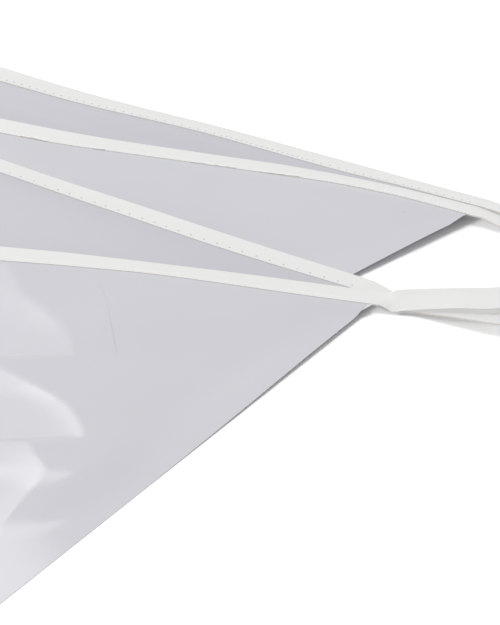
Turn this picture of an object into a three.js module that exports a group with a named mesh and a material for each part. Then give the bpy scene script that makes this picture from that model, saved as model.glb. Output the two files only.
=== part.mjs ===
// A string of plastic bunting: four film pennants sewn into a folded film tape, lying in a loose
// zigzag pile. Each pennant is turned over on the one below it, with the bare tape looping round
// past their corners. Millimetres: +X to the right, +Y to the back, +Z up, the floor at Z = 0.
import * as THREE from "three";

// ---------------------------------------------------------------- driving sizes

const PENNANT_WIDTH = 200;
const PENNANT_HEIGHT = 300;
const FILM = 1; // thickness of a pennant's sheet
const TAPE_WIDTH = 9; // the tape as folded, from the fold to the open edges
const FLAP = 1; // thickness of each of its two flaps
const FOLD = 1; // thickness of the tape across its fold
const CLEAR = 0.4; // room between the tape and the film in it
const AIR = 0.5; // gap between one pennant and the next in the pile
const SEWN_IN = TAPE_WIDTH - FOLD - CLEAR; // how much of a pennant the tape covers
const PAST_CORNER = 1.5; // the tape stays open this far past a pennant's corner

// Half thicknesses of the tape and of the slot in it, where it holds film and where it is shut.
const OPEN = { slot: FILM / 2 + CLEAR, outer: FILM / 2 + CLEAR + FLAP };
const SHUT = { slot: CLEAR / 2, outer: CLEAR / 2 + FLAP };

// How much a sheet, and the tape sewn to it, lifts whatever lies on top.
const FILM_RISE = FILM + AIR;
const TAPE_RISE = 2 * (FLAP + CLEAR);
const OVERHANG = 3; // a sheet stays level this far past the edge it lies over
const DRAPE = 24; // and comes down over this distance

// The pennants from the floor up. x and y place the right top corner of the film. heading is the
// direction of its top edge, from left to right. near, middle and far are how much that edge strays
// to the back at a quarter, a half and three quarters of its length. lean is how far the point lies
// to the left of the middle.
const PENNANTS = [
  { name: "pennant_4", x: 115.4, y: 102.8, heading: -29.9, near: 0.3, middle: 0.5, far: -0.2, lean: 0 },
  { name: "pennant_3", x: 113.6, y: 91.9, heading: -21.2, near: 5.4, middle: 3.4, far: 1.3, lean: 29 },
  { name: "pennant_2", x: 77.3, y: 43.5, heading: -34.0, near: -2.5, middle: -1.8, far: -0.8, lean: 0 },
  { name: "pennant_1", x: 82.0, y: 31.9, heading: -13.7, near: -0.3, middle: -0.2, far: -2.6, lean: 0 },
];

// The bare tape, in the order in which it runs: x, y and z of its middle, the direction that its
// open edges face, and how far they dip below the fold, both in degrees. A turn row is a round
// turn of the given radius about that point, with the strand shifted sideways across it.
const BACK_TAIL = [
  { x: -115.5, y: 231.0, z: 1.15, faces: -122, dip: 0 },
  { x: -97.0, y: 221.5, z: 1.15, faces: -120, dip: 0 },
  { x: -77.0, y: 210.0, z: 1.15, faces: -120, dip: 0 },
];
const BACK_LOOP = [
  { x: 122.0, y: 95.5, z: 1.6, faces: -122, dip: -10 },
  { x: 137.0, y: 85.5, z: 2.0, faces: -122, dip: -6 },
  { x: 153.0, y: 76.0, z: 2.8, faces: -120, dip: 0 },
  { turn: 5.2, x: 168.0, y: 63.5, z: 8.8, heading: -30, faces: -120, shift: 8 },
  { x: 155.0, y: 67.5, z: 12.6, faces: -118, dip: 0 },
  { x: 138.0, y: 74.5, z: 9.6, faces: -118, dip: 0 },
  { x: 124.0, y: 81.0, z: 6.2, faces: -120, dip: -5 },
];
const LEFT_LOOP = [
  { x: -86.0, y: 165.5, z: 1.6, faces: -112, dip: 0 },
  { x: -104.0, y: 173.0, z: 1.3, faces: -114, dip: 0 },
  { x: -122.0, y: 181.0, z: 2.4, faces: -117, dip: 0 },
  { turn: 4.8, x: -138.0, y: 185.0, z: 8.4, heading: 152, faces: -118, shift: -7 },
  { x: -123.0, y: 174.5, z: 11.4, faces: -120, dip: 0 },
  { x: -107.0, y: 163.5, z: 7.4, faces: -122, dip: 0 },
];
const FRONT_LOOP = [
  { x: 85.5, y: 33.5, z: 1.25, faces: -118, dip: 0 },
  { x: 95.0, y: 29.3, z: 1.6, faces: -116, dip: 0 },
  { x: 105.5, y: 25.2, z: 2.4, faces: -115, dip: 0 },
  { x: 121.4, y: 18.4, z: 3.8, faces: -112, dip: 0 },
  { x: 134.0, y: 13.5, z: 4.6, faces: -105, dip: 0 },
  { turn: 4.6, x: 147.0, y: 15.0, z: 10.4, heading: -8, faces: -100, shift: 8 },
  { x: 134.0, y: 21.0, z: 13.4, faces: -100, dip: 12 },
  { x: 119.5, y: 23.2, z: 8.6, faces: -98, dip: 24 },
  { x: 104.0, y: 25.1, z: 7.1, faces: -98, dip: 24 },
  { x: 94.0, y: 26.5, z: 5.7, faces: -98, dip: 24 },
  { x: 85.9, y: 27.7, z: 4.5, faces: -99, dip: 22 },
];
const FRONT_TAIL = [
  { x: -131.0, y: 80.6, z: 1.5, faces: -104, dip: 0 },
  { x: -153.0, y: 85.6, z: 1.15, faces: -104, dip: 0 },
  { x: -174.0, y: 91.4, z: 1.15, faces: -106, dip: 0 },
];

// Soft ridges across the top pennant where the film has buckled: the middle, the direction, the
// half length and half width, and the height.
const BUCKLES = [
  { x: -28, y: 6, heading: 62, length: 70, width: 26, height: 1.4 },
  { x: -48, y: -70, heading: 40, length: 60, width: 22, height: 1.2 },
  { x: -66, y: -150, heading: 75, length: 62, width: 24, height: 1.1 },
];

// The grid of each pennant: columns crowd towards the right corner, rows towards the tape.
const COLUMNS = 20;
const COLUMN_CROWDING = 1.1;
const ROWS_NEAR_TAPE = [0, SEWN_IN, 13, 19, 26, 34];
const ROWS_BELOW = 16;
const LOOP_STEPS = 2; // sections to each row of a loop
const EDGE_STEPS = 8; // straight steps that stand for a top edge where the pile's heights are worked out

// ---------------------------------------------------------------- plan of a pennant

const radians = THREE.MathUtils.degToRad;
const lerp = THREE.MathUtils.lerp;
const flat = (direction) => new THREE.Vector2(Math.cos(direction), Math.sin(direction));

// A pennant's own directions, the stray of its top edge and its point.
function planOf(row) {
  const along = flat(radians(row.heading)).negate();
  const front = flat(radians(row.heading) - Math.PI / 2);
  const corner = new THREE.Vector2(row.x, row.y);
  const stray = [0, row.near, row.middle, row.far, 0];
  const point = corner
    .clone()
    .addScaledVector(along, PENNANT_WIDTH / 2 + row.lean)
    .addScaledVector(front, PENNANT_HEIGHT);
  return { ...row, along, front, corner, stray, point };
}

// How far the top edge strays to the back, at a distance from the right corner.
function strayAt(plan, distance) {
  const steps = plan.stray.length - 1;
  const place = THREE.MathUtils.clamp((distance / PENNANT_WIDTH) * steps, 0, steps);
  const i = Math.min(Math.floor(place), steps - 1);
  const at = (k) => plan.stray[k] ?? 2 * plan.stray[k < 0 ? 0 : steps] - plan.stray[k < 0 ? 1 : steps - 1];
  const t = place - i;
  const [a, b, c, d] = [at(i - 1), at(i), at(i + 1), at(i + 2)];
  const bend = 2 * a - 5 * b + 4 * c - d;
  const twist = 3 * (b - c) + d - a;
  return b + 0.5 * t * (c - a + t * (bend + t * twist));
}

// The place at a distance along the top edge and a distance in front of the tape's fold.
function placeOn(plan, distance, across) {
  return plan.corner
    .clone()
    .addScaledVector(plan.along, distance)
    .addScaledVector(plan.front, across - FOLD - CLEAR - strayAt(plan, distance));
}

// The same two distances for a place on the floor.
function measuresOf(plan, place) {
  const from = place.clone().sub(plan.corner);
  const distance = from.dot(plan.along);
  return [distance, from.dot(plan.front) + FOLD + CLEAR + strayAt(plan, distance)];
}

// ---------------------------------------------------------------- heights

// Distance from a place to a closed outline, negative inside it.
function distanceTo(outline, place) {
  let nearest = Infinity;
  let inside = false;
  outline.forEach((a, i) => {
    const b = outline[(i + 1) % outline.length];
    const side = b.clone().sub(a);
    const from = place.clone().sub(a);
    const t = THREE.MathUtils.clamp(from.dot(side) / side.lengthSq(), 0, 1);
    nearest = Math.min(nearest, from.addScaledVector(side, -t).length());
    const crosses = a.y > place.y !== b.y > place.y;
    if (crosses && place.x < a.x + (side.x * (place.y - a.y)) / side.y) inside = !inside;
  });
  return inside ? -nearest : nearest;
}

// 1 where cloth is held up, falling smoothly to 0 over a reach.
const easeDown = (distance, reach) => 1 - THREE.MathUtils.smootherstep(distance, 0, reach);

// The outlines of a pennant's film and of the tape sewn to it.
function outlinesOf(plan) {
  const marks = Array.from({ length: EDGE_STEPS + 1 }, (_, i) => (i / EDGE_STEPS) * PENNANT_WIDTH);
  const tapeMarks = marks.map((d) => lerp(-PAST_CORNER, PENNANT_WIDTH + PAST_CORNER, d / PENNANT_WIDTH));
  return {
    film: [...marks.map((d) => placeOn(plan, d, FOLD + CLEAR)), plan.point],
    tape: [
      ...tapeMarks.map((d) => placeOn(plan, d, 0)),
      ...tapeMarks.reverse().map((d) => placeOn(plan, d, TAPE_WIDTH)),
    ],
  };
}

const plans = PENNANTS.map(planOf);
const outlines = plans.map(outlinesOf);

// The height that the tape of a pennant lies at, over all the pennants below it.
function restOf(layer, place) {
  return outlines.slice(0, layer).reduce((height, { film, tape }) => {
    const overFilm = easeDown(distanceTo(film, place) - OVERHANG, DRAPE);
    const overTape = easeDown(distanceTo(tape, place) - OVERHANG, DRAPE);
    return height + FILM_RISE * overFilm + TAPE_RISE * overTape;
  }, 0);
}

// Where the sewn tape has its sections, and how high its fold and its open edges are there.
const columns = Array.from({ length: COLUMNS + 1 }, (_, i) => (i / COLUMNS) ** COLUMN_CROWDING);
const sewnAt = [-PAST_CORNER, ...columns.map((c) => c * PENNANT_WIDTH), PENNANT_WIDTH + PAST_CORNER];
const sewnHeights = plans.map((plan, layer) =>
  sewnAt.map((distance) =>
    [0, TAPE_WIDTH].map((across) => restOf(layer, placeOn(plan, distance, across)) + OPEN.outer),
  ),
);

// The middle of the tape, and of the film in it, at a distance along it and across it.
function tapeMiddle(layer, distance, across) {
  const before = sewnAt.findLastIndex((mark) => mark <= distance);
  const i = THREE.MathUtils.clamp(before, 0, sewnAt.length - 2);
  const t = (distance - sewnAt[i]) / (sewnAt[i + 1] - sewnAt[i]);
  const [from, to] = [sewnHeights[layer][i], sewnHeights[layer][i + 1]];
  const share = across / TAPE_WIDTH;
  return lerp(lerp(from[0], from[1], share), lerp(to[0], to[1], share), t);
}

// The rise of the buckles at a place.
function buckleAt(place) {
  return BUCKLES.reduce((rise, b) => {
    const ahead = flat(radians(b.heading));
    const from = new THREE.Vector2(place.x - b.x, place.y - b.y);
    const far = Math.hypot(from.dot(ahead) / b.length, from.cross(ahead) / b.width);
    return rise + b.height * easeDown(far, 1);
  }, 0);
}

// The middle of a pennant's film at a place.
function filmMiddle(layer, place) {
  const [distance, across] = measuresOf(plans[layer], place);
  if (across <= TAPE_WIDTH) return tapeMiddle(layer, distance, across);
  const belowTape = across - TAPE_WIDTH;
  const nearTape = easeDown(belowTape, DRAPE);
  const buckled = layer === plans.length - 1 ? buckleAt(place) * (1 - nearTape) : 0;
  return restOf(layer, place) + FILM / 2 + (FLAP + CLEAR) * nearTape + buckled;
}

// ---------------------------------------------------------------- meshes

function closedGeometry(points, triangles) {
  const geometry = new THREE.BufferGeometry();
  geometry.setAttribute("position", new THREE.Float32BufferAttribute(points.flat(), 3));
  geometry.setIndex(triangles.flat());
  geometry.computeVertexNormals();
  return geometry;
}

const quad = (a, b, c, d) => [
  [a, b, c],
  [a, c, d],
];

// One row of places across a pennant, from its right edge to its left one, at a depth below its
// top edge. A row inside the tape keeps to the tape's own sections, so that both bend together.
function rowPlaces(plan, depth) {
  const row = depth / PENNANT_HEIGHT;
  const right = row * (PENNANT_WIDTH / 2 + plan.lean);
  const left = PENNANT_WIDTH - row * (PENNANT_WIDTH / 2 - plan.lean);
  return columns.map((share) => {
    const distance = share * PENNANT_WIDTH;
    if (depth > SEWN_IN) return placeOn(plan, distance, FOLD + CLEAR).lerp(plan.point, row);
    return placeOn(plan, THREE.MathUtils.clamp(distance, right, left), FOLD + CLEAR + depth);
  });
}

// A pennant: rows of places from the top edge to the point, given a top and an underside.
function pennantGeometry(layer) {
  const plan = plans[layer];
  const last = ROWS_NEAR_TAPE.at(-1);
  const below = Array.from({ length: ROWS_BELOW }, (_, i) =>
    lerp(last, PENNANT_HEIGHT, (i + 1) / ROWS_BELOW),
  );
  const grid = [...ROWS_NEAR_TAPE, ...below.slice(0, -1)].map((depth) => rowPlaces(plan, depth));
  const places = [...grid.flat(), plan.point];
  const middles = places.map((place) => filmMiddle(layer, place));
  const face = (side) => places.map((p, i) => [p.x, p.y, middles[i] + (side * FILM) / 2]);
  const points = [...face(1), ...face(-1)];

  const wide = COLUMNS + 1;
  const tip = grid.length * wide;
  const under = places.length;
  const at = (row, column) => (row === grid.length ? tip : row * wide + column);
  const triangles = [];
  for (let row = 0; row < grid.length; row++) {
    for (let column = 0; column < COLUMNS; column++) {
      const corners = [at(row, column), at(row, column + 1), at(row + 1, column + 1), at(row + 1, column)];
      const faces = row < grid.length - 1 ? quad(...corners) : [corners.slice(0, 3)];
      triangles.push(...faces, ...faces.map(([a, b, c]) => [c + under, b + under, a + under]));
    }
  }
  const rim = [
    ...columns.map((_, column) => at(0, column)).reverse(),
    ...grid.slice(1).map((_, row) => at(row + 1, 0)),
    tip,
    ...grid.slice(1).map((_, row) => at(grid.length - 1 - row, COLUMNS)),
  ];
  rim.forEach((a, i) => {
    const b = rim[(i + 1) % rim.length];
    triangles.push(...quad(a, b, b + under, a + under));
  });
  return closedGeometry(points, triangles);
}

// The stretch of tape along a pennant, as sections from its right corner to its left one.
function sewnSections(layer) {
  return sewnAt.map((distance) => {
    const [fold, edge] = [0, TAPE_WIDTH].map((across) => {
      const place = placeOn(plans[layer], distance, across);
      return new THREE.Vector3(place.x, place.y, tapeMiddle(layer, distance, across));
    });
    return { middle: fold.clone().lerp(edge, 0.5), across: edge.sub(fold).normalize(), half: OPEN };
  });
}

// One row of a table as a section. dip turns the open edges down.
function sectionOf({ x, y, z, faces, dip }) {
  const toFront = flat(radians(faces)).multiplyScalar(Math.cos(radians(dip)));
  const across = new THREE.Vector3(toFront.x, toFront.y, -Math.sin(radians(dip)));
  return { middle: new THREE.Vector3(x, y, z), across, half: SHUT };
}

// A round turn as five rows, from underneath, round its far side, to the top.
function turnRows(row) {
  const out = flat(radians(row.heading));
  const aside = flat(radians(row.faces));
  return [-90, -45, 0, 45, 90].map((angle) => {
    const round = row.turn * Math.cos(radians(angle));
    const shift = row.shift * (angle / 180);
    return {
      x: row.x + out.x * round + aside.x * shift,
      y: row.y + out.y * round + aside.y * shift,
      z: row.z + row.turn * Math.sin(radians(angle)),
      faces: row.faces,
      dip: 0,
    };
  });
}

const sectionsOf = (table) => table.flatMap((row) => (row.turn ? turnRows(row) : [row])).map(sectionOf);

// The whole tape: smooth curves through the bare stretches, the sewn ones as they are.
function joinSections(before, bare, after) {
  const all = [...before.slice(-1), ...bare, ...after.slice(0, 1)];
  const middles = new THREE.CatmullRomCurve3(all.map((s) => s.middle));
  const acrosses = new THREE.CatmullRomCurve3(all.map((s) => s.across));
  const steps = (all.length - 1) * LOOP_STEPS;
  const first = before.length ? 1 : 0;
  const last = after.length ? steps - 1 : steps;
  return Array.from({ length: last - first + 1 }, (_, i) => {
    const t = (first + i) / steps;
    return { middle: middles.getPoint(t), across: acrosses.getPoint(t).normalize(), half: SHUT };
  });
}

function tapeSections() {
  const [fourth, third, second, front] = plans.map((_, layer) => sewnSections(layer));
  fourth.reverse();
  second.reverse();
  return [
    ...joinSections([], sectionsOf(BACK_TAIL), fourth),
    ...fourth,
    ...joinSections(fourth, sectionsOf(BACK_LOOP), third),
    ...third,
    ...joinSections(third, sectionsOf(LEFT_LOOP), second),
    ...second,
    ...joinSections(second, sectionsOf(FRONT_LOOP), front),
    ...front,
    ...joinSections(front, sectionsOf(FRONT_TAIL), []),
  ];
}

// The tape: a strip folded lengthways, whose flaps stand apart where they hold film.
function tapeGeometry() {
  const sections = tapeSections();
  const points = sections.flatMap(({ middle, across, half }, i) => {
    const before = sections[Math.max(i - 1, 0)].middle;
    const after = sections[Math.min(i + 1, sections.length - 1)].middle;
    const along = after.clone().sub(before).normalize();
    const wide = across.clone().addScaledVector(along, -across.dot(along)).normalize();
    const thick = along.cross(wide);
    const fold = -TAPE_WIDTH / 2;
    const edge = TAPE_WIDTH / 2;
    const corners = [
      [fold, -half.outer],
      [edge, -half.outer],
      [edge, -half.slot],
      [fold + FOLD, -half.slot],
      [fold + FOLD, half.slot],
      [edge, half.slot],
      [edge, half.outer],
      [fold, half.outer],
    ].map(([w, t]) => middle.clone().addScaledVector(wide, w).addScaledVector(thick, t));
    const sunk = Math.min(0, ...corners.map((corner) => corner.z));
    return corners.map(({ x, y, z }) => [x, y, z - sunk]);
  });
  const round = 8; // corners of a section
  const triangles = [];
  for (let i = 0; i < sections.length - 1; i++) {
    for (let k = 0; k < round; k++) {
      const a = i * round + k;
      const b = i * round + ((k + 1) % round);
      triangles.push(...quad(a, b, b + round, a + round));
    }
  }
  const cap = [...quad(3, 2, 1, 0), ...quad(7, 4, 3, 0), ...quad(7, 6, 5, 4)];
  const end = (sections.length - 1) * round;
  triangles.push(...cap, ...cap.map(([a, b, c]) => [c + end, b + end, a + end]));
  return closedGeometry(points, triangles);
}

// ---------------------------------------------------------------- the bunting

const bunting = new THREE.Group();
bunting.name = "bunting";

plans.forEach((plan, layer) => {
  const film = new THREE.MeshStandardMaterial({
    color: "#cfd0d5",
    roughness: 0.3,
    metalness: 0,
    side: THREE.DoubleSide,
  });
  const pennant = new THREE.Mesh(pennantGeometry(layer), film);
  pennant.name = plan.name;
  bunting.add(pennant);
});

const tape = new THREE.Mesh(
  tapeGeometry(),
  new THREE.MeshStandardMaterial({ color: "#ebebea", roughness: 0.5, metalness: 0 }),
);
tape.name = "tape";
bunting.add(tape);

export default bunting;
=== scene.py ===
import math

import bpy
import numpy as np
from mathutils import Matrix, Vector


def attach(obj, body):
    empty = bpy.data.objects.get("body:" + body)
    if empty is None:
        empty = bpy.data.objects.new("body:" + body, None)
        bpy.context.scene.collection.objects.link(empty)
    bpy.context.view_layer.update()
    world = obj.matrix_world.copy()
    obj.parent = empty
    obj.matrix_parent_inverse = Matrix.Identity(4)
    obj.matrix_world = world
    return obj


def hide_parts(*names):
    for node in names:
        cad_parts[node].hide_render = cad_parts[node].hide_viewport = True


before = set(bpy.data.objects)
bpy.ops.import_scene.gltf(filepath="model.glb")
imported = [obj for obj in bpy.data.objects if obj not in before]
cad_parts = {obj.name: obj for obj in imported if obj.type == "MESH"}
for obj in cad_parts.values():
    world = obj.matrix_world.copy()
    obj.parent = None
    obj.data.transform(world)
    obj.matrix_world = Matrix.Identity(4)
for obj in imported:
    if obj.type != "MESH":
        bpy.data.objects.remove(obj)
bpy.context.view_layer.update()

MM = 0.001

# ---------------------------------------------------------------- driving sizes, mm

PENNANT_WIDTH = 200.0
PENNANT_HEIGHT = 300.0
FILM = 0.12  # real thickness of a pennant's film
REST = 0.12  # the middle of a film that lies on the floor
TAPE_WIDTH = 9.0  # the tape as folded, from the fold to the open edges
TAPE_FILM = 0.14  # thickness of the strip that the tape is folded from
FOLD_RADIUS = 0.35  # the fold is rolled, not pressed flat
SEWN_GAP = 0.16  # half the gap between the flaps where they hold film
BARE_GAP = 0.12  # and where they are shut on nothing
SEAM_ROOM = 1.4  # from the tape's fold to the top edge of the film in it
PAST_CORNER = 1.5  # the flaps stay open this far past a pennant's corner

FILM_STEP = 0.6  # each sheet underneath lifts the next by this much
OVERHANG = 3.0  # a sheet stays level this far past the edge it lies over
DRAPE = 24.0  # and comes down over this distance
CREST = 9.0  # film goes on in the slope of the tape over this distance

# The pennants from the floor up. corner is the right top corner of the film, heading the direction
# of its top edge from left to right in degrees, stray how far that edge bows to the back at a
# quarter, half and three quarters of its length, and lean how far the point lies to the left of the
# middle. rise and tip go along the top edge in steps of 25 mm from the right corner: the height of
# the middle of the tape, and by how many degrees its open edges stand higher than its fold. edge is
# the height of the right edge of the film in steps of 20 mm from the corner. Over the distance of
# hang the film comes down from the tape to the height at which it lies.
TAPE_MARK = 25.0
EDGE_MARK = 20.0
PENNANTS = [
    dict(name="pennant_4", hang=12, corner=(116.8, 103.3), heading=-29.9, stray=(-0.1, -0.1, -2.0), lean=0,
         rise=(1.7, 1.7, 1.6, 1.7, 2.0, 2.1, 2.1, 2.1, 2.0),
         tip=(13.8, 12.8, 8.7, 9.3, 10.8, 9.8, 5.9, 3.0, -1.0), edge=(0.6, 0.3, 0.15)),
    dict(name="pennant_3", hang=60, corner=(116.7, 93.4), heading=-21.4, stray=(3.9, 1.3, -1.6), lean=36,
         rise=(3.15, 3.65, 3.6, 3.6, 3.5, 3.4, 3.4, 3.4, 3.3),
         tip=(10.5, 13.4, 12.0, 7.0, 6.2, 4.5, 0.7, -0.8, 0.0), edge=(3.05, 3.35, 2.8, 2.0, 1.0, 0.6, 0.45)),
    dict(name="pennant_2", hang=40, corner=(77.5, 45.6), heading=-32.8, stray=(-2.5, -1.4, 0.1), lean=0,
         rise=(2.3, 3.3, 4.2, 4.6, 4.7, 4.8, 5.3, 6.0, 4.3),
         tip=(5.2, 2.7, 1.2, 2.0, 3.5, 6.5, 6.0, 1.0, -8.0), edge=(1.6, 1.4, 1.2, 1.0, 1.0)),
    dict(name="pennant_1", hang=60, corner=(81.7, 35.4), heading=-13.2, stray=(-1.5, -2.7, -5.4), lean=2,
         rise=(3.0, 4.0, 5.1, 5.8, 6.0, 6.3, 6.5, 6.2, 3.5),
         tip=(1.8, 2.0, 4.2, 6.2, 2.3, -0.6, -1.0, 0.0, 0.0),
         edge=(1.9, 1.8, 1.7, 1.3, 0.9, 0.55, 0.3, 0.12)),
]
EDGE_INWARD = 24.0  # the edge's own height reaches this far into the film

# The bare tape, in the order in which it runs: the middle, the direction that the open edges face,
# how far they dip below the fold and how far the flaps gape, in degrees. A turn row is a round turn
# of that radius about the point, with the strand shifted sideways across it. A creased row is a
# sharp fold across the tape.
BACK_TAIL = [
    dict(at=(-115.5, 231.0, 1.0), faces=-122, gape=3),
    dict(at=(-97.0, 221.5, 1.0), faces=-120, gape=2),
    dict(at=(-77.0, 210.0, 1.4), faces=-120, gape=1),
]
BACK_LOOP = [
    dict(at=(122.0, 95.3, 2.0), faces=-122, dip=-17, gape=1),
    dict(at=(137.0, 84.9, 2.1), faces=-122, dip=-13, gape=1),
    dict(at=(153.0, 76.0, 2.8), faces=-120, gape=3),
    dict(turn=5.2, at=(168.0, 63.5, 8.8), heading=-30, faces=-120, shift=8),
    dict(at=(155.0, 69.0, 9.5), faces=-118, gape=4),
    dict(at=(138.0, 78.6, 4.5), faces=-118, dip=2, gape=2),
    dict(at=(126.0, 84.6, 2.5), faces=-116, gape=1),
]
LEFT_LOOP = [
    dict(at=(-86.0, 165.5, 1.9), faces=-112, gape=1),
    dict(at=(-104.0, 173.0, 1.3), faces=-114, gape=3),
    dict(at=(-122.0, 181.0, 2.4), faces=-117, gape=4),
    dict(turn=4.8, at=(-138.0, 185.0, 8.4), heading=152, faces=-118, shift=-7),
    dict(at=(-123.0, 174.5, 11.4), faces=-120, gape=4),
    dict(at=(-107.0, 163.5, 7.4), faces=-122, gape=2),
]
FRONT_LOOP = [
    dict(at=(86.2, 33.4, 0.9), faces=-116, creased=True),
    dict(at=(96.1, 29.0, 1.6), faces=-114, dip=-3, gape=1),
    dict(at=(108.6, 22.1, 3.2), faces=-112, dip=-7, gape=1),
    dict(at=(120.8, 16.0, 4.3), faces=-110, dip=-8, gape=1),
    dict(at=(134.0, 12.5, 5.2), faces=-105, dip=-6, gape=3),
    dict(turn=4.6, at=(147.0, 15.0, 10.4), heading=-8, faces=-100, shift=-8),
    dict(at=(134.0, 21.4, 12.1), faces=-99, dip=20, gape=14),
    dict(at=(119.3, 24.1, 7.5), faces=-98, dip=29, gape=17),
    dict(at=(107.1, 25.9, 6.3), faces=-98, dip=26, gape=17),
    dict(at=(94.3, 29.4, 4.1), faces=-98, dip=25, gape=10),
    dict(at=(86.0, 31.1, 2.8), faces=-98, dip=23, creased=True),
]
FRONT_TAIL = [
    dict(at=(-131.0, 80.6, 1.8), faces=-104, gape=1),
    dict(at=(-153.0, 85.6, 1.1), faces=-104, gape=3),
    dict(at=(-174.0, 91.4, 1.1), faces=-106, gape=4),
]

# Left of a curved line the top pennant falls away to the left in three shallow hollows. A row gives
# the front and the back of a hollow and how soft those two ends are, the line itself as x from the
# front to the back in even steps, the slope beyond the line, how far the film goes on falling, and
# how much steeper it is next to the line, at the front and at the back.
HOLLOWS = [
    dict(front=-6.0, back=60.0, ends=(3, 12), line=(-16, -18, -21, -27, -34, -37, -40, -43),
         slope=0.053, reach=30, lip=(0.1, 0.1)),
    dict(front=-57.5, back=-9.0, ends=(6, 8), line=(-12, -13, -15, -18, -23, -30, -37, -44),
         slope=0.085, reach=26, lip=(0.8, 0.1)),
    dict(front=-114.0, back=-57.5, ends=(14, 5), line=(-37, -36, -33, -29, -25, -25, -28, -31),
         slope=0.073, reach=24, lip=(0.5, -0.2)),
]
HOLLOWS_END = (-43.0, 26.0)  # left of this x the film rises out of them again, over this distance
LIP = 5.0  # the steeper part beside the line is this wide
PUFF = 3.1  # to the left and at the back the top pennant stays up at this height
PUFF_SIDE = (-12.0, 38.0)  # right of this x it comes down to the sheets below, over this distance
PUFF_FRONT = (-118.0, 50.0)  # and in front of this y it lies flat, and comes down to there over this

# ---------------------------------------------------------------- small sums


def linear(code):
    """An sRGB hex colour as linear red, green, blue and alpha."""
    parts = [int(code[i : i + 2], 16) / 255 for i in (1, 3, 5)]
    return [c / 12.92 if c <= 0.04045 else ((c + 0.055) / 1.055) ** 2.4 for c in parts] + [1.0]


def direction(degrees):
    return np.array([math.cos(math.radians(degrees)), math.sin(math.radians(degrees))])


def ease(distance, reach):
    """1 up to distance 0, then smoothly down to 0 at reach."""
    t = np.clip(np.asarray(distance, float) / reach, 0, 1)
    return 1 - t * t * t * (t * (6 * t - 15) + 10)


def unit(vectors):
    return vectors / np.linalg.norm(vectors, axis=1, keepdims=True)


def round_angles(count):
    """Even steps round a circle, in radians."""
    return np.radians(np.arange(count) * 360 / count)


def through(values, place):
    """A smooth curve through evenly spaced values, at places counted in steps from the first."""
    v = np.asarray(values, float)
    v = np.concatenate([[2 * v[0] - v[1]], v, [2 * v[-1] - v[-2]]])
    place = np.clip(place, 0, len(v) - 3)
    i = np.minimum(np.floor(place).astype(int), len(v) - 4)
    t = place - i
    a, b, c, d = v[i], v[i + 1], v[i + 2], v[i + 3]
    return b + 0.5 * t * (c - a + t * (2 * a - 5 * b + 4 * c - d + t * (3 * (b - c) + d - a)))


# ---------------------------------------------------------------- plan of a pennant

OUTLINE_MARKS = 13  # points along the top edge in a pennant's outline


class Plan:
    """Where a pennant lies: its own directions, its top edge and its outline."""

    def __init__(self, row):
        self.name = row["name"]
        self.row = row
        self.along = -direction(row["heading"])
        self.front = direction(row["heading"] - 90)
        self.corner = np.array(row["corner"])
        self.point = (
            self.corner
            + self.along * (PENNANT_WIDTH / 2 + row["lean"])
            + self.front * PENNANT_HEIGHT
        )
        marks = np.linspace(0, PENNANT_WIDTH, OUTLINE_MARKS)
        self.outline = np.vstack([self.place(marks, SEAM_ROOM), self.point])

    def stray(self, distance):
        edge = (0, *self.row["stray"], 0)
        return through(edge, np.asarray(distance) / (PENNANT_WIDTH / 4))

    def place(self, distance, across):
        """Places at a distance from the right corner and a distance in front of the tape's fold."""
        ahead = across - SEAM_ROOM - self.stray(distance)
        return (
            self.corner
            + np.multiply.outer(np.asarray(distance, float), self.along)
            + np.multiply.outer(np.asarray(ahead, float), self.front)
        )

    def measure(self, places):
        """Those two distances for places on the floor."""
        away = places - self.corner
        distance = away @ self.along
        return distance, away @ self.front + SEAM_ROOM + self.stray(distance)

    def rise(self, distance):
        return through(self.row["rise"], distance / TAPE_MARK)

    def tip(self, distance):
        return np.radians(through(self.row["tip"], distance / TAPE_MARK))


plans = [Plan(row) for row in PENNANTS]


def distance_to(outline, places):
    """Distance from places to a closed outline, negative inside it."""
    nearest = np.full(len(places), np.inf)
    inside = np.zeros(len(places), bool)
    for a, b in zip(outline, np.roll(outline, -1, axis=0)):
        side = b - a
        away = places - a
        t = np.clip(away @ side / (side @ side), 0, 1)
        nearest = np.minimum(nearest, np.linalg.norm(away - np.outer(t, side), axis=1))
        level = (a[1] > places[:, 1]) != (b[1] > places[:, 1])
        rate = side[0] / side[1] if side[1] else 0.0
        inside ^= level & (places[:, 0] < a[0] + rate * (places[:, 1] - a[1]))
    return np.where(inside, -nearest, nearest)


# ---------------------------------------------------------------- heights of the film


def hollowed(places):
    """How far the hollows let the top pennant down."""
    x, y = places.T
    down = np.zeros(len(places))
    for h in HOLLOWS:
        deep = h["back"] - h["front"]
        line = through(h["line"], (y - h["front"]) / deep * (len(h["line"]) - 1))
        past = np.clip(line - x, 0, None)
        share = np.clip((y - h["front"]) / deep, 0, 1)
        lip = h["lip"][0] * (1 - share) + h["lip"][1] * share
        fall = h["reach"] * (1 - np.exp(-past / h["reach"])) + lip * LIP * (1 - np.exp(-past / LIP))
        front_end, back_end = h["ends"]
        inside = 1 - ease(y - h["front"] + front_end / 2, front_end)
        inside = inside * (1 - ease(h["back"] + back_end / 2 - y, back_end))
        down += h["slope"] * fall * inside
    return down * ease(HOLLOWS_END[0] - x, HOLLOWS_END[1])


def free_height(layer, places):
    """The height of a film's middle away from its tape, where it lies on the sheets below it."""
    height = np.full(len(places), REST)
    for plan in plans[:layer]:
        height += FILM_STEP * ease(distance_to(plan.outline, places) - OVERHANG, DRAPE)
    if layer < len(plans) - 1:
        return height
    puff = ease(places[:, 0] - PUFF_SIDE[0], PUFF_SIDE[1])
    puff = puff * (1 - ease(places[:, 1] - PUFF_FRONT[0], PUFF_FRONT[1]))
    return height + (np.maximum(PUFF, height) - height) * puff - hollowed(places)


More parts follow.
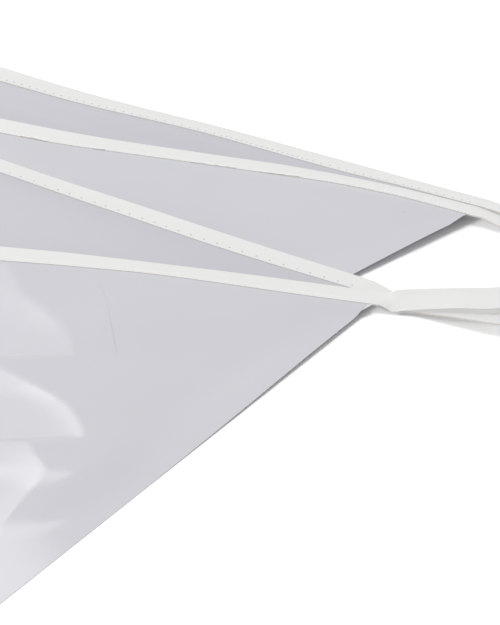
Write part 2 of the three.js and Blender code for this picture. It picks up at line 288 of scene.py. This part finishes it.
def at_right_edge(plan, places):
    """The height that a film's right edge has beside each place, and how much it counts there."""
    side = plan.point - plan.corner
    length = np.linalg.norm(side)
    away = places - plan.corner
    down = np.clip(away @ side / length, 0, None)
    inward = np.abs(away[:, 0] * side[1] - away[:, 1] * side[0]) / length
    return through(plan.row["edge"], down / EDGE_MARK), ease(inward, EDGE_INWARD)


def film_height(layer, places):
    plan = plans[layer]
    distance, across = plan.measure(places)
    distance = np.clip(distance, 0, PENNANT_WIDTH)
    tip = plan.tip(distance)
    in_tape = plan.rise(distance) + np.sin(tip) * (np.minimum(across, TAPE_WIDTH) - TAPE_WIDTH / 2)
    below = np.maximum(across - TAPE_WIDTH, 0)
    held = ease(below, plan.row["hang"])
    free = free_height(layer, places)
    at_seam = free_height(layer, plan.place(distance, TAPE_WIDTH))
    crest = np.tan(tip) * below * ease(below, CREST)
    body = free + (in_tape - at_seam + crest) * held
    edge, share = at_right_edge(plan, places)
    return np.where(below > 0, body + (edge - body) * share * (1 - ease(below, TAPE_WIDTH)), in_tape)


# ---------------------------------------------------------------- meshes

SHARP_ANGLE = math.radians(50)  # edges bent more than this are drawn as edges
THREAD_SIDES = 6
PATCH_DEPTH = 0.05  # a small mark is a body this thick


def mesh_object(name, points_mm, faces, materials):
    mesh = bpy.data.meshes.new(name)
    mesh.from_pydata((np.asarray(points_mm) * MM).tolist(), [], faces)
    mesh.polygons.foreach_set("use_smooth", [True] * len(mesh.polygons))
    for material in materials:
        mesh.materials.append(material)
    mesh.validate()
    mesh.update()
    mesh.set_sharp_from_angle(angle=SHARP_ANGLE)
    piece = bpy.data.objects.new(name, mesh)
    bpy.context.scene.collection.objects.link(piece)
    return piece


def tubes(name, paths, radius, material):
    """Round threads along lists of points, each closed at both ends."""
    points, faces = [], []
    turn = round_angles(THREAD_SIDES)
    for path in paths:
        path = np.asarray(path, float)
        ahead = unit(np.gradient(path, axis=0))
        side = unit(np.cross(ahead, [0.0, 0.0, 1.0]))
        top = np.cross(side, ahead)
        ring = side[:, None] * np.cos(turn)[None, :, None] + top[:, None] * np.sin(turn)[None, :, None]
        first = len(points)
        points += (path[:, None] + ring * radius).reshape(-1, 3).tolist()
        for row in range(len(path) - 1):
            start = first + THREAD_SIDES * row
            for k in range(THREAD_SIDES):
                a, b = start + k, start + (k + 1) % THREAD_SIDES
                faces.append([a, a + THREAD_SIDES, b + THREAD_SIDES, b])
        faces.append([first + k for k in range(THREAD_SIDES)])
        faces.append([len(points) - 1 - k for k in range(THREAD_SIDES)])
    return mesh_object(name, points, faces, [material])


def patch(name, points, faces, materials, kinds=None):
    """A closed body from the surface that the faces make to a little under it. Kinds are the
    materials of those faces, counted from the first."""
    points = np.asarray(points, float)
    count = len(points)
    under = [[corner + count for corner in reversed(face)] for face in faces]
    sides = [side for face in faces for side in zip(face, face[1:] + face[:1])]
    shared = set(sides)
    rim = [[b, a, a + count, b + count] for a, b in sides if (b, a) not in shared]
    points = np.vstack([points, points - [0, 0, PATCH_DEPTH]])
    piece = mesh_object(name, points, faces + under + rim, materials)
    if kinds:
        rest = [0] * (len(under) + len(rim))
        piece.data.polygons.foreach_set("material_index", kinds + rest)
    return piece


def thin_sheet(name, places, heights, wide, material):
    """A grid of places, wide to a row and ending in one point, as film with two sides and a rim."""
    tip = len(places) - 1
    rows = tip // wide
    points = np.vstack(
        [np.column_stack([places, heights + side * FILM / 2]) for side in (1, -1)]
    )
    under = tip + 1

    def at(row, column):
        return tip if row == rows else row * wide + column

    faces = []
    for row in range(rows):
        for column in range(wide - 1):
            face = [at(row, column), at(row, column + 1), at(row + 1, column + 1), at(row + 1, column)]
            face = face[:3] if row == rows - 1 else face
            faces += [face, [corner + under for corner in reversed(face)]]
    rim = [at(0, column) for column in reversed(range(wide))]
    rim += [at(row, 0) for row in range(1, rows)] + [tip]
    rim += [at(row, wide - 1) for row in reversed(range(1, rows))]
    for a, b in zip(rim, rim[1:] + rim[:1]):
        faces.append([a, b, b + under, a + under])
    return mesh_object(name, points, faces, [material])


def pennant_film(layer, cell, material):
    plan = plans[layer]
    wide = int(PENNANT_WIDTH / cell) + 1
    depths = np.linspace(0, PENNANT_HEIGHT, int(PENNANT_HEIGHT / cell) + 1)[:-1]
    edge = plan.place(np.linspace(0, PENNANT_WIDTH, wide), SEAM_ROOM)
    rows = [edge + (plan.point - edge) * (depth / PENNANT_HEIGHT) for depth in depths]
    places = np.vstack(rows + [plan.point])
    heights = np.maximum(film_height(layer, places), REST)
    return thin_sheet("film_" + plan.name, places, heights, wide, material)


# ---------------------------------------------------------------- the run of the tape

# A section of tape is a row of numbers: the middle, the direction from its fold to its open edges,
# the gape of its flaps in degrees and half the gap between them.
MIDDLE = slice(0, 3)
ACROSS = slice(3, 6)
FLAPS = slice(6, 8)
SECTION_STEP = 2.0  # from one section to the next
TURN_ANGLES = (-90, -45, 0, 45, 90)  # a round turn is this many sections
TURN_GAPE = 3  # and its flaps gape by this
LEAD = 5  # sections into a sewn run, for the direction in which it is left
FLAP_POINTS = 8  # across a flap
FOLD_POINTS = 7  # round the fold
FLAPS_MEET = 6  # the flaps close on each other within a sixth of the width


def sewn_run(plan):
    """Sections along a pennant, from its right corner to its left one."""
    distance = np.arange(-PAST_CORNER, PENNANT_WIDTH + PAST_CORNER + 1, SECTION_STEP)
    tip = plan.tip(distance)
    middle = np.column_stack([plan.place(distance, TAPE_WIDTH / 2), plan.rise(distance)])
    across = np.column_stack([np.outer(np.cos(tip), plan.front), np.sin(tip)])
    gape = np.zeros((len(distance), 1))
    return np.hstack([middle, across, gape, gape + SEWN_GAP])


def bare_section(at, faces, dip=0.0, gape=0.0, **_):
    flat = direction(faces) * math.cos(math.radians(dip))
    return [*at, *flat, -math.sin(math.radians(dip)), gape, BARE_GAP]


def bare_rows(table):
    """The table's rows as sections, each turn as several, and which of them are creased."""
    rows, creases = [], []
    for row in table:
        if "turn" not in row:
            if row.get("creased"):
                creases.append(len(rows))
            rows.append(bare_section(**row))
            continue
        out, aside = direction(row["heading"]), direction(row["faces"])
        for angle in TURN_ANGLES:
            reach = row["turn"] * math.cos(math.radians(angle))
            x, y = np.array(row["at"][:2]) + out * reach + aside * row["shift"] * angle / 180
            z = row["at"][2] + row["turn"] * math.sin(math.radians(angle))
            rows.append(bare_section((x, y, z), row["faces"], gape=TURN_GAPE))
    return np.array(rows), creases


def curve(rows):
    """Sections on a smooth curve through rows; the first and last rows only give it its direction."""
    made = []
    for a, b, c, d in zip(rows, rows[1:], rows[2:], rows[3:]):
        count = max(2, int(np.linalg.norm((c - b)[MIDDLE]) / SECTION_STEP))
        for t in np.arange(count) / count:
            bend = 2 * a - 5 * b + 4 * c - d + t * (3 * (b - c) + d - a)
            made.append(b + 0.5 * t * (c - a + t * bend))
    return made


def joined(before, table, after):
    """The bare stretch between two sewn ones, or between a sewn one and a cut end."""
    rows, creases = bare_rows(table)
    start = [before[-LEAD], before[-1]] if before is not None else [2 * rows[0] - rows[1]]
    end = [after[0], after[LEAD]] if after is not None else [2 * rows[-1] - rows[-2]]
    rows = [*start, *rows, *end]
    stops = [k + len(start) for k in creases]
    made = []
    first = 0
    for stop in [*stops, len(rows) - 2]:
        piece = rows[first : stop + 1]
        if first:
            piece = [2 * piece[0] - piece[1], *piece]
        piece = [*piece, rows[stop + 1] if stop == len(rows) - 2 else 2 * piece[-1] - piece[-2]]
        made += curve(piece)
        first = stop
    if after is None:
        made.append(rows[-2])
    return np.array(made[1:] if before is not None else made)


def tape_run():
    """All its sections, from the cut end at the back to the one in front."""
    fourth, third, second, front = [sewn_run(plan) for plan in plans]
    fourth, second = fourth[::-1], second[::-1]
    pieces = [
        joined(None, BACK_TAIL, fourth),
        fourth,
        joined(fourth, BACK_LOOP, third),
        third,
        joined(third, LEFT_LOOP, second),
        second,
        joined(second, FRONT_LOOP, front),
        front,
        joined(front, FRONT_TAIL, None),
    ]
    return np.vstack(pieces)


def tape_frames(run):
    """At each section the directions across the tape and through it."""
    along = unit(np.gradient(run[:, MIDDLE], axis=0))
    across = run[:, ACROSS]
    wide = unit(across - along * np.sum(across * along, axis=1, keepdims=True))
    return wide, np.cross(along, wide)


def tape_mesh(name, run, material, edge_shade_material):
    """The strip folded lengthways: its section is a long hairpin of even thickness."""
    wide, through_tape = tape_frames(run)
    centre = -TAPE_WIDTH / 2 + FOLD_RADIUS
    flap = np.linspace(TAPE_WIDTH / 2, centre, FLAP_POINTS)
    turns = np.radians(np.linspace(90, 270, FOLD_POINTS + 2))[1:-1]
    rings = []
    for gape, gap in run[:, FLAPS]:
        openness = (flap - centre) / TAPE_WIDTH
        lift = gap + (FOLD_RADIUS - gap) * (1 - np.sqrt(np.clip(openness * FLAPS_MEET, 0, 1)))
        lift = lift + np.tan(np.radians(gape / 2)) * (flap - centre)
        upper = np.column_stack([flap, lift])
        round_fold = np.column_stack([np.cos(turns), np.sin(turns)]) * FOLD_RADIUS + [centre, 0]
        line = np.vstack([upper, round_fold, upper[::-1] * [1, -1]])
        tangent = unit(np.gradient(line, axis=0))
        normal = np.column_stack([tangent[:, 1], -tangent[:, 0]])
        rings.append(np.vstack([line + normal * TAPE_FILM / 2, (line - normal * TAPE_FILM / 2)[::-1]]))
    rings = np.array(rings)
    points = (
        run[:, None, MIDDLE]
        + rings[:, :, :1] * wide[:, None, :]
        + rings[:, :, 1:] * through_tape[:, None, :]
    )
    count, ring = rings.shape[:2]
    index = np.arange(count * ring).reshape(count, ring)
    a, b = index[:-1], np.roll(index[:-1], -1, axis=1)
    c, d = np.roll(index[1:], -1, axis=1), index[1:]
    faces = np.stack([a, b, c, d], axis=2).reshape(-1, 4).tolist()
    for row, turned in ((index[0], True), (index[-1], False)):
        for k in range(ring // 2 - 1):
            face = [int(row[k]), int(row[k + 1]), int(row[ring - 2 - k]), int(row[ring - 1 - k])]
            faces.append(face if turned else face[::-1])
    piece = mesh_object(name, points.reshape(-1, 3), faces, [material, edge_shade_material])
    # Along the two open edges the faces are the slit sides of the strip, which take the edge material with
    # its painted warm shade.
    slit = np.isin(np.arange(len(faces)) % ring, (ring // 2 - 1, ring - 1))
    slit[(count - 1) * ring :] = False
    piece.data.polygons.foreach_set("material_index", slit.astype(int).tolist())
    return piece


# ---------------------------------------------------------------- materials

PVC_IOR = 1.53
PE_IOR = 1.51
POLYESTER_IOR = 1.54
SPECK_IOR = 1.53
CLOUDS = 30.0  # the film's tint wanders over this distance, in mm
RIPPLES = 14.0
WRINKLES = 6.0  # in the tape
LET_THROUGH = 0.8  # the share of light that passes each face of the tape's film


def add(owner, kind, settings=None, **links):
    """Adds a node with its settings. Each link is the socket that feeds the input of that name."""
    tree = owner.node_tree
    node = tree.nodes.new(kind)
    for key, value in (settings or {}).items():
        if isinstance(key, int) or key in node.inputs:
            node.inputs[key].default_value = value
        else:
            setattr(node, key, value)
    for key, socket in links.items():
        tree.links.new(socket, node.inputs[key.replace("_", " ")])
    return node


def blank(name):
    material = bpy.data.materials.new(name)
    material.use_nodes = True
    material.node_tree.nodes.clear()
    return material


def calendered_film(name, thin_tint, full_tint, roughness):
    """Silver-grey PVC film, pigmented right through and calendered between two rolls. The polished roll
    gives the face a clear gloss that mirrors lamps, and the sanded roll leaves the reverse dull; the
    reverse's tint, a little darker than the face's, is painted shade. A faint ripple from the rolls only
    shows in what the film reflects."""
    m = blank(name)
    spot = add(m, "ShaderNodeTexCoord").outputs["Object"]
    cloudy = add(m, "ShaderNodeTexNoise", {"Scale": 1 / (CLOUDS * MM), "Detail": 2.0}, Vector=spot)
    tint = add(m, "ShaderNodeMix", {"data_type": "RGBA"}, Factor=cloudy.outputs["Fac"])
    tint.inputs["A"].default_value = linear(thin_tint)
    tint.inputs["B"].default_value = linear(full_tint)
    ripple = add(m, "ShaderNodeTexNoise", {"Scale": 1 / (RIPPLES * MM), "Detail": 3.0}, Vector=spot)
    bump = add(m, "ShaderNodeBump", {"Strength": 0.05, "Distance": 1 * MM}, Height=ripple.outputs["Fac"])
    shader = add(
        m,
        "ShaderNodeBsdfPrincipled",
        {"Roughness": roughness, "IOR": PVC_IOR},
        Base_Color=tint.outputs[2],
        Normal=bump.outputs["Normal"],
    )
    add(m, "ShaderNodeOutputMaterial", Surface=shader.outputs["BSDF"])
    return m


def blown_film():
    """White polyethylene strip, blown thin enough to let light through, and folded lengthways as it is
    sewn. The handling leaves it finely wrinkled, with a softer gloss than the pennants' faces."""
    m = blank("white_pe_tape")
    spot = add(m, "ShaderNodeTexCoord").outputs["Object"]
    wrinkle = add(m, "ShaderNodeTexNoise", {"Scale": 1 / (WRINKLES * MM), "Detail": 4.0}, Vector=spot)
    bump = add(m, "ShaderNodeBump", {"Strength": 0.15, "Distance": 0.3 * MM}, Height=wrinkle.outputs["Fac"])
    shader = add(
        m,
        "ShaderNodeBsdfPrincipled",
        {"Base Color": linear("#e4e4e3"), "Roughness": 0.42, "IOR": PE_IOR},
        Normal=bump.outputs["Normal"],
    )
    path = add(m, "ShaderNodeLightPath")
    lit = add(m, "ShaderNodeMath", {"operation": "MAXIMUM"})
    m.node_tree.links.new(path.outputs["Is Shadow Ray"], lit.inputs[0])
    m.node_tree.links.new(path.outputs["Is Diffuse Ray"], lit.inputs[1])
    passed = add(m, "ShaderNodeMath", {"operation": "MULTIPLY", 1: LET_THROUGH})
    m.node_tree.links.new(lit.outputs[0], passed.inputs[0])
    clear = add(m, "ShaderNodeBsdfTransparent")
    both = add(m, "ShaderNodeMixShader", Fac=passed.outputs[0])
    m.node_tree.links.new(shader.outputs["BSDF"], both.inputs[1])
    m.node_tree.links.new(clear.outputs["BSDF"], both.inputs[2])
    add(m, "ShaderNodeOutputMaterial", Surface=both.outputs["Shader"])
    return m


def even_finish(name, code, roughness, ior):
    """For marks and threads too fine to show any grain of their own."""
    m = blank(name)
    settings = {"Base Color": linear(code), "Roughness": roughness, "IOR": ior}
    shader = add(m, "ShaderNodeBsdfPrincipled", settings)
    add(m, "ShaderNodeOutputMaterial", Surface=shader.outputs["BSDF"])
    return m


# The slit sides of the strip are coloured a darker warm beige: painted shade that draws the thin warm shadow
# line along the tape's open edges.
shaded_slit_edge = even_finish("painted_shade_tape_edge", "#ddd5c9", 0.5, PE_IOR)
# Spun polyester sewing thread, bleached white, brighter than the tape it holds.
thread_material = even_finish("white_polyester_thread", "#fafaf8", 0.6, POLYESTER_IOR)
# A needle hole shows the grey film through the tape, in its own shadow.
hole_material = even_finish("needle_hole_in_pe", "#a4a4a8", 0.7, PE_IOR)
# Along a crease line the PVC film is drawn darker, which is painted shade, and it is pale where it was bent
# over.
crease_shade_finish = even_finish("painted_crease_shade", "#b9b9bf", 0.3, PVC_IOR)
bent_film = even_finish("stress_whitened_pvc_film", "#d8d8dc", 0.4, PVC_IOR)
# Two small round specks on the film, a little darker than it and lying flat.
speck_finish = even_finish("dark_speck_pvc", "#b9b9bf", 0.3, SPECK_IOR)
film_face = calendered_film("silver_pvc_polished_face", "#c8c8ce", "#cbcbd1", 0.12)
# The darker tint of the reverse is painted shade on pennant_2 and pennant_4, which lie with the reverse up.
shaded_film_reverse = calendered_film("silver_pvc_dull_reverse", "#bebec5", "#c1c1c7", 0.38)
tape_material = blown_film()

# ---------------------------------------------------------------- stitches and marks

# One row of lockstitches goes through both flaps and the film. Two pennants lie with the needle's
# side up, where each stitch is a hole with a small burr, and two with the thread side up.
STITCH_INSIDE = 1.7  # from the open edges to the row
FIRST_STITCH = 2.0  # from the right corner
LAST_STITCH = 4.0  # the row ends once it is this near the left one, or past it
STITCH_PITCH = 4.9
CLOSE_PITCH = 3.1  # the seam of the lowest pennant was sewn with shorter stitches
CLOSEST = (60.0, 96.0, 2.0)  # and between these distances with shorter ones still
UNEVEN = (0.9, 1.1)  # the shortest and the longest stitch, as shares of the pitch
FLAP_TOP = SEWN_GAP + TAPE_FILM / 2

HOLE_SIDES = 8
HOLE_RADIUS = 0.3
HOLE_LIFT = 0.03
HOLE_WANDER = 0.15  # how far a hole may be off the row
BURR_RADIUS = 0.5
BURR_HEIGHT = 0.06

THREAD_RADIUS = 0.13
THREAD_WANDER = 0.1
# A stitch from hole to hole: shares of its length, and how high the thread lies there.
STITCH_LINE = [
    (0.04, -0.12), (0.12, -0.03), (0.3, 0.0), (0.5, 0.01), (0.7, 0.0), (0.88, -0.03), (0.96, -0.12),
]
# Along the open edge of pennant_3's tape the thread has pulled out in loops, between these distances
# from the right corner.
PULLED_LOOPS = [(174, 186), (152, 162), (132, 136), (86, 102), (64, 78)]
PULLED_STEP = 1.2
PULLED_LEAST = 4  # points to a loop, however short it is
PULLED_RADIUS = 0.16  # the thread untwists and swells where it is slack
PULLED_INSIDE = 0.35  # from the open edge to the middle of the loops
PULLED_WANDER = 0.3
PULLED_LIFT = (0.05, 0.25)
# Thread ends where the tape is creased: the middle of the tuft, how many there are and the points
# of each, how far from that middle they start and the shares of that in x, y and z, then the least
# and most of their directions in degrees, their lengths, how far they arch and how steeply they climb.
TUFT = dict(at=(87.5, 27.0, 1.3), threads=6, points=5, spread=0.6, shares=(1, 0.4, 0.5),
            heading=(-25, 30), length=(1.5, 4.0), bend=(0.2, 0.6), climb=(0, 0.3))

# The line of painted crease shade in the top film, from the back.
PINCH = [(-9.0, 36.7), (-6.8, 27.5), (-5.4, 16.0), (-4.3, 7.4), (-2.9, -4.0)]
PINCH_POINTS = 45
PINCH_WIDTH = 0.42
PINCH_PLACES = (0, 0.35, 0.65, 1)  # at these shares of the line it has
PINCH_SHARES = (0.9, 0.4, 1, 1.1)  # these shares of its width
PINCH_TAPER = (0.04, 0.92)  # it narrows at both ends as half a wave does: its start and its length
PINCH_ASIDE = np.array([1.0, 0.15])  # the direction of its width
SPECKS = [(90.5, 89.1), (45.4, 87.9)]
SPECK_SIDES = 6
SPECK_RADIUS = 0.45
WHITENED = (1.0, 2.6, 12.5)  # from the corner to its ends: two along the tape, one down the edge
WHITENED_BELOW = 0.2  # clear of the open edges of the tape
MARK_LIFT = 0.012  # such marks stand this far proud of the film
WHITENED_LIFT = 0.03

dice = np.random.default_rng(7)


def on_tape(plan, distance, across, lift):
    """Places on a sewn run: across is measured from the fold and lift from the tape's middle."""
    values = [np.atleast_1d(value).astype(float) for value in (distance, across, lift)]
    distance, across, lift = np.broadcast_arrays(*values)
    tip = plan.tip(distance)
    wide = np.column_stack([np.outer(np.cos(tip), plan.front), np.sin(tip)])
    up = np.column_stack([np.outer(-np.sin(tip), plan.front), np.cos(tip)])
    middle = np.column_stack([plan.place(distance, TAPE_WIDTH / 2), plan.rise(distance)])
    return middle + (across - TAPE_WIDTH / 2)[:, None] * wide + lift[:, None] * up


def stitch_marks(close):
    """Distances from the right corner at which the needle went through."""
    marks = [FIRST_STITCH]
    while marks[-1] < PENNANT_WIDTH - LAST_STITCH:
        pitch = CLOSE_PITCH if close else STITCH_PITCH
        if close and CLOSEST[0] < marks[-1] < CLOSEST[1]:
            pitch = CLOSEST[2]
        marks.append(marks[-1] + pitch * dice.uniform(*UNEVEN))
    return np.array(marks)


def needle_holes(plan, close):
    """A dark dot in a raised ring for each hole, all as one piece."""
    points, faces, dark = [], [], []
    turn = round_angles(HOLE_SIDES)
    burr_middle = (BURR_RADIUS + HOLE_RADIUS) / 2
    rings = [(BURR_RADIUS, 0.0), (burr_middle, BURR_HEIGHT), (HOLE_RADIUS, HOLE_LIFT)]
    for mark in stitch_marks(close):
        across = TAPE_WIDTH - STITCH_INSIDE + dice.uniform(-HOLE_WANDER, HOLE_WANDER)
        first = len(points)
        for radius, lift in rings:
            round_hole = mark + radius * np.cos(turn), across + radius * np.sin(turn)
            points += on_tape(plan, *round_hole, FLAP_TOP + lift).tolist()
        for row in range(len(rings) - 1):
            start = first + HOLE_SIDES * row
            for k in range(HOLE_SIDES):
                a, b = start + k, start + (k + 1) % HOLE_SIDES
                faces.append([a, b, b + HOLE_SIDES, a + HOLE_SIDES])
                dark.append(0)
        faces.append([start + HOLE_SIDES + k for k in range(HOLE_SIDES)])
        dark.append(1)
    materials = [tape_material, hole_material]
    return patch("needle_holes_" + plan.name, points, faces, materials, dark)


def thread_row(plan):
    """Thread that comes up at each hole, lies along the tape and goes down at the next."""
    marks = stitch_marks(False)
    share, lift = np.array(STITCH_LINE).T
    paths = []
    for start, stop in zip(marks, marks[1:]):
        across = TAPE_WIDTH - STITCH_INSIDE + dice.uniform(-THREAD_WANDER, THREAD_WANDER)
        paths.append(on_tape(plan, start + share * (stop - start), across, FLAP_TOP + lift))
    return tubes("stitches_" + plan.name, paths, THREAD_RADIUS, thread_material)


def pulled_loops(plan):
    """Each loop is two slack threads side by side."""
    paths = []
    for start, stop in PULLED_LOOPS:
        count = max(PULLED_LEAST, int((stop - start) / PULLED_STEP))
        distance = np.linspace(start, stop, count)
        for _ in range(2):
            across = TAPE_WIDTH - PULLED_INSIDE + dice.uniform(-PULLED_WANDER, PULLED_WANDER, count)
            lift = FLAP_TOP + dice.uniform(*PULLED_LIFT, count)
            paths.append(on_tape(plan, distance, across, lift))
    return tubes("pulled_thread_" + plan.name, paths, PULLED_RADIUS, thread_material)


def thread_tuft():
    paths = []
    share = np.linspace(0, 1, TUFT["points"])[:, None]
    for _ in range(TUFT["threads"]):
        ahead = direction(dice.uniform(*TUFT["heading"]))
        length = dice.uniform(*TUFT["length"])
        start = np.array(TUFT["at"]) + dice.uniform(-TUFT["spread"], TUFT["spread"], 3) * TUFT["shares"]
        bend = np.sin(share * math.pi) * dice.uniform(*TUFT["bend"])
        path = start + share * length * [*ahead, dice.uniform(*TUFT["climb"])]
        paths.append(path + bend * [0, 0, 1])
    return tubes("thread_ends", paths, THREAD_RADIUS, thread_material)


def seam_pieces():
    fourth, third, second, front = plans
    return [
        needle_holes(fourth, True),
        thread_row(third),
        pulled_loops(third),
        needle_holes(second, False),
        thread_row(front),
        thread_tuft(),
    ]


def on_film(layer, places, lift=MARK_LIFT):
    places = np.atleast_2d(places)
    height = np.maximum(film_height(layer, places), REST)
    return np.column_stack([places, height + FILM / 2 + lift])


def painted_crease_line(layer):
    """A strip of painted shade along a crease in the film, with its faint part a third of the way along."""
    count = PINCH_POINTS
    steps = np.linspace(0, len(PINCH) - 1, count)
    line = np.column_stack([through(np.array(PINCH)[:, k], steps) for k in (0, 1)])
    width = PINCH_WIDTH * np.sin(math.pi * (PINCH_TAPER[0] + PINCH_TAPER[1] * steps / steps[-1])) ** 0.5
    width = width * np.interp(steps / steps[-1], PINCH_PLACES, PINCH_SHARES)
    aside = width[:, None] * PINCH_ASIDE / 2
    strip = np.vstack([on_film(layer, line - aside), on_film(layer, line + aside)])
    faces = [[k, k + 1, k + count + 1, k + count] for k in range(count - 1)]
    return patch("painted_crease_line", strip, faces, [crease_shade_finish])


def whitened_corner(layer):
    """A pale sliver where the film was bent over beside its corner."""
    plan = plans[layer]
    near, far, down = WHITENED
    side = (plan.point - plan.corner) / np.linalg.norm(plan.point - plan.corner)
    tape_side = [plan.place(distance, TAPE_WIDTH + WHITENED_BELOW) for distance in (near, far)]
    bend = on_film(layer, np.array([*tape_side, plan.corner + side * down]), WHITENED_LIFT)
    return patch("whitened_corner", bend, [[0, 1, 2]], [bent_film])


def dark_specks(layer):
    turn = round_angles(SPECK_SIDES)
    speck = SPECK_RADIUS * np.column_stack([np.cos(turn), np.sin(turn)])
    rings = [on_film(layer, np.array(at) + speck) for at in SPECKS]
    faces = np.arange(len(SPECKS) * SPECK_SIDES).reshape(-1, SPECK_SIDES).tolist()
    return patch("dark_specks", np.vstack(rings), faces, [speck_finish])


# ---------------------------------------------------------------- the pieces

# The grid of each film, finest on the top pennant, whose hollows need it.
FILM_CELL = {"pennant_4": 4.0, "pennant_3": 3.0, "pennant_2": 3.0, "pennant_1": 1.6}
FACE_UP = ("pennant_1", "pennant_3")
FILM_MARKS = {"pennant_1": (painted_crease_line, whitened_corner), "pennant_3": (dark_specks,)}

for layer, plan in enumerate(plans):
    material = film_face if plan.name in FACE_UP else shaded_film_reverse
    film = pennant_film(layer, FILM_CELL[plan.name], material)
    marks = [make(layer) for make in FILM_MARKS.get(plan.name, ())]
    for mark in marks:
        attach(mark, "root")
    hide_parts(plan.name)
    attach(film, "root")

run = tape_run()
tape = tape_mesh("folded_tape", run, tape_material, shaded_slit_edge)
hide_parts("tape")
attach(tape, "root")
stitching = seam_pieces()
for piece in stitching:
    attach(piece, "root")

# ---------------------------------------------------------------- floor, light and camera

WHITE_SEEN = 1.12  # a little over white, so that the lit floor is as white as the backdrop
PAPER = 0.86  # how much of the light that falls on it the floor sends back
WORLD_LIGHT = 0.55
KEY_LIGHT = 1.5
KEY_SPREAD = 28.0  # degrees across, for soft edges to the shadows
KEY_SIDE = Vector((-0.2, -0.1, 1.0))  # it comes from nearly overhead


def shown_rays(owner):
    """1 for rays that show the background to the eye, straight or in a gloss, and 0 for its light."""
    path = add(owner, "ShaderNodeLightPath")
    total = path.outputs["Is Camera Ray"]
    for name in ("Is Glossy Ray", "Is Transmission Ray"):
        node = add(owner, "ShaderNodeMath", {"operation": "MAXIMUM"})
        owner.node_tree.links.new(total, node.inputs[0])
        owner.node_tree.links.new(path.outputs[name], node.inputs[1])
        total = node.outputs[0]
    return total


def pale_floor():
    """Matt white paper."""
    m = blank("white_paper_floor")
    tone = add(m, "ShaderNodeMix", {"data_type": "RGBA"}, Factor=shown_rays(m))
    tone.inputs["A"].default_value = (PAPER, PAPER, PAPER, 1)
    tone.inputs["B"].default_value = (WHITE_SEEN, WHITE_SEEN, WHITE_SEEN, 1)
    shader = add(m, "ShaderNodeBsdfDiffuse", Color=tone.outputs[2])
    add(m, "ShaderNodeOutputMaterial", Surface=shader.outputs["BSDF"])
    return m


FLOOR_SIDE = 60000.0
FLOOR_DROP = 0.02  # keeps it clear of the film that lies on it
half = FLOOR_SIDE / 2
corners = [(-half, -half), (half, -half), (half, half), (-half, half)]
floor = mesh_object(
    "floor", [(x, y, -FLOOR_DROP) for x, y in corners], [[0, 1, 2, 3]], [pale_floor()]
)

world = bpy.data.worlds.new("white_room")
bpy.context.scene.world = world
world.use_nodes = True
world.node_tree.nodes.clear()
strength = add(world, "ShaderNodeMapRange", {"To Min": WORLD_LIGHT, "To Max": 1.0}, Value=shown_rays(world))
backdrop = add(world, "ShaderNodeBackground", {"Color": (1, 1, 1, 1)}, Strength=strength.outputs["Result"])
add(world, "ShaderNodeOutputWorld", Surface=backdrop.outputs["Background"])


def aimed(name, data, place, target):
    """A lamp or a camera at a place, turned to look at its target."""
    made = bpy.data.objects.new(name, data)
    bpy.context.scene.collection.objects.link(made)
    made.location = place
    made.rotation_euler = (target - place).to_track_quat("-Z", "Y").to_euler()
    return made


AIM = Vector((39.5, 28.7, 0.0)) * MM

key = bpy.data.lights.new("key_light", "SUN")
key.energy = KEY_LIGHT
key.angle = math.radians(KEY_SPREAD)
sun = aimed("key_light", key, AIM + KEY_SIDE, AIM)
sun.visible_glossy = False  # seen from above it would be a white glare on the polished film

# A white card over the pile and softboxes behind it, all only in its gloss: how far back they are,
# their sides in x and in height, how many degrees they lean over and how bright they are.
SOFTBOXES = [
    dict(name="dim_side", y=1000, x=(-160, -95), z=(350, 1500), turned=0, glow=0.5),
    dict(name="bright_side", y=1000, x=(-480, -160), z=(350, 1500), turned=0, glow=1.5),
    dict(name="near_card", y=165, x=(-75, -15), z=(167, 201), turned=50, glow=1.5),
]
for box in SOFTBOXES:
    softbox = bpy.data.lights.new(box["name"], "AREA")
    softbox.shape = "RECTANGLE"
    softbox.size = (box["x"][1] - box["x"][0]) * MM
    softbox.size_y = (box["z"][1] - box["z"][0]) * MM
    softbox.energy = box["glow"] * softbox.size * softbox.size_y * math.pi
    place = Vector((sum(box["x"]) / 2, box["y"], sum(box["z"]) / 2)) * MM
    pane = aimed(box["name"], softbox, place, place - Vector((0, 1, 0)))
    pane.rotation_euler.rotate_axis("Z", -math.radians(box["turned"]))
    pane.visible_camera = False
    pane.visible_diffuse = False

CAMERA_DISTANCE = 2.5  # this and the next length are in metres
CAMERA_HEIGHT = math.radians(29)
VIEW_LENGTH = 0.2016  # what the long side of the frame takes in at the aim point
SENSOR = 36.0
camera_data = bpy.data.cameras.new("camera")
camera_data.sensor_width = SENSOR
camera_data.lens = SENSOR * CAMERA_DISTANCE / VIEW_LENGTH
camera_data.clip_end = 100.0
back = Vector((0, -math.cos(CAMERA_HEIGHT), math.sin(CAMERA_HEIGHT)))
camera = aimed("camera", camera_data, AIM + CAMERA_DISTANCE * back, AIM)
bpy.context.scene.camera = camera
bpy.context.scene.view_settings.view_transform = "Standard"
